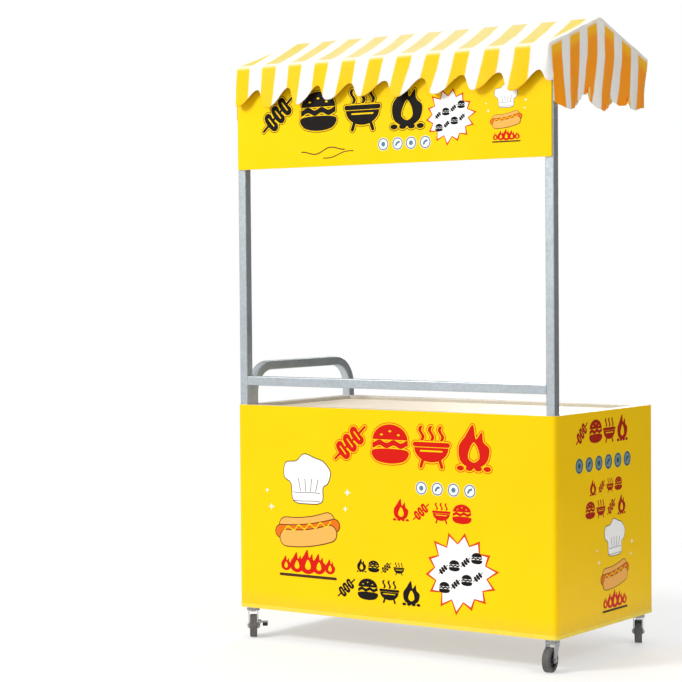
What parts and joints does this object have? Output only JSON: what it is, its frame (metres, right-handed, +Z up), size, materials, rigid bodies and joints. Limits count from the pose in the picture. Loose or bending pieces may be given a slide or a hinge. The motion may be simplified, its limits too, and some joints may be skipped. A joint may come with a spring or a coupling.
{
  "type": "push vending cart",
  "caption": "Push cart with a boarded cabinet, rear doors, recessed counter, bent push handle, sign board, gabled striped canopy and swivel casters.",
  "frame": {"origin": "on the floor, under the middle of the overall footprint", "axes": "+X to the right of a customer facing the cart, +Y away from the customer towards the doors, +Z up"},
  "size_m": [1.2, 0.6745, 1.98],
  "materials": {
    "galvanised_tube": "galvanised, satin",
    "counter_laminate": "cream laminate, satin",
    "storage_board": "plain board, matte",
    "foam_board": "white board, matte",
    "yellow_wrap": "printed film, satin",
    "yellow_sign": "printed board, satin",
    "canopy_cloth": "coated cloth, striped",
    "hinge_steel": "satin",
    "black_plastic": "moulded, matte",
    "zinc_plate": "bright zinc",
    "wheel_core": "moulded, matte",
    "grey_rubber": "matte"
  },
  "bodies": {
    "cart": {"bottom_frame": "galvanised_tube", "top_frame": "galvanised_tube", "corner_uprights": "galvanised_tube", "post_left": "galvanised_tube", "post_right": "galvanised_tube", "guard_rail": "galvanised_tube", "push_handle": "galvanised_tube", "counter_ledges": "galvanised_tube", "countertop": "counter_laminate", "floor_board": "storage_board", "shelf_rails": "galvanised_tube", "shelf_board": "storage_board", "front_board": "foam_board", "left_board": "foam_board", "right_board": "foam_board", "printed_wrap": "yellow_wrap", "sign_board": "yellow_sign", "canopy_eave_frame": "galvanised_tube", "canopy_ridge_tube": "galvanised_tube", "canopy_rafters": "galvanised_tube", "knee_braces": "galvanised_tube", "canopy_roof": "canopy_cloth", "canopy_gable_left": "canopy_cloth", "canopy_gable_right": "canopy_cloth", "frame_hinge_leaves": "hinge_steel", "hinge_pins": "hinge_steel", "door_catch": "black_plastic", "caster_plates": "zinc_plate", "caster_kingpins": "zinc_plate"},
    "door_left_body": {"door_left": "foam_board", "door_hinge_leaves_left": "hinge_steel", "door_pull_left": "hinge_steel"},
    "door_right_body": {"door_right": "foam_board", "door_hinge_leaves_right": "hinge_steel", "door_pull_right": "hinge_steel"},
    "fork_front_left_body": {"fork_front_left": "zinc_plate", "axle_front_left": "zinc_plate", "brake_bracket_front_left": "zinc_plate"},
    "wheel_front_left_body": {"wheel_core_front_left": "wheel_core", "tyre_front_left": "grey_rubber"},
    "brake_front_left_body": {"brake_lever_front_left": "zinc_plate", "brake_pedal_front_left": "black_plastic"},
    "fork_front_right_body": {"fork_front_right": "zinc_plate", "axle_front_right": "zinc_plate"},
    "wheel_front_right_body": {"wheel_core_front_right": "wheel_core", "tyre_front_right": "grey_rubber"},
    "fork_back_left_body": {"fork_back_left": "zinc_plate", "axle_back_left": "zinc_plate", "brake_bracket_back_left": "zinc_plate"},
    "wheel_back_left_body": {"wheel_core_back_left": "wheel_core", "tyre_back_left": "grey_rubber"},
    "brake_back_left_body": {"brake_lever_back_left": "zinc_plate", "brake_pedal_back_left": "black_plastic"},
    "fork_back_right_body": {"fork_back_right": "zinc_plate", "axle_back_right": "zinc_plate"},
    "wheel_back_right_body": {"wheel_core_back_right": "wheel_core", "tyre_back_right": "grey_rubber"}
  },
  "joints": [
    {"name": "door_left_hinge", "type": "hinge", "parent": "cart", "child": "door_left_body", "pos_m": [-0.5625, 0.3116, 0.435], "axis": [0, 0, 1], "range_deg": [0, 110]},
    {"name": "door_right_hinge", "type": "hinge", "parent": "cart", "child": "door_right_body", "pos_m": [0.5625, 0.3116, 0.435], "axis": [0, 0, -1], "range_deg": [0, 110]},
    {"name": "swivel_front_left", "type": "hinge", "parent": "cart", "child": "fork_front_left_body", "pos_m": [-0.568, -0.281, 0.09], "axis": [0, 0, 1], "continuous": true},
    {"name": "wheel_front_left", "type": "hinge", "parent": "fork_front_left_body", "child": "wheel_front_left_body", "pos_m": [-0.55692, -0.29518, 0.0375], "axis": [0.788, 0.6157, 0], "continuous": true},
    {"name": "brake_front_left", "type": "hinge", "parent": "fork_front_left_body", "child": "brake_front_left_body", "pos_m": [-0.53958, -0.28164, 0.05], "axis": [-0.6157, 0.788, 0], "range_deg": [0, 20]},
    {"name": "swivel_front_right", "type": "hinge", "parent": "cart", "child": "fork_front_right_body", "pos_m": [0.568, -0.281, 0.09], "axis": [0, 0, 1], "continuous": true},
    {"name": "wheel_front_right", "type": "hinge", "parent": "fork_front_right_body", "child": "wheel_front_right_body", "pos_m": [0.57019, -0.29887, 0.0375], "axis": [0.9925, 0.1219, 0], "continuous": true},
    {"name": "swivel_back_left", "type": "hinge", "parent": "cart", "child": "fork_back_left_body", "pos_m": [-0.568, 0.275, 0.09], "axis": [0, 0, 1], "continuous": true},
    {"name": "wheel_back_left", "type": "hinge", "parent": "fork_back_left_body", "child": "wheel_back_left_body", "pos_m": [-0.56184, 0.25809, 0.0375], "axis": [0.9397, 0.342, 0], "continuous": true},
    {"name": "brake_back_left", "type": "hinge", "parent": "fork_back_left_body", "child": "brake_back_left_body", "pos_m": [-0.54117, 0.26561, 0.05], "axis": [-0.342, 0.9397, 0], "range_deg": [0, 20]},
    {"name": "swivel_back_right", "type": "hinge", "parent": "cart", "child": "fork_back_right_body", "pos_m": [0.568, 0.275, 0.09], "axis": [0, 0, 1], "continuous": true},
    {"name": "wheel_back_right", "type": "hinge", "parent": "fork_back_right_body", "child": "wheel_back_right_body", "pos_m": [0.55983, 0.29104, 0.0375], "axis": [-0.891, -0.454, 0], "continuous": true}
  ]
}
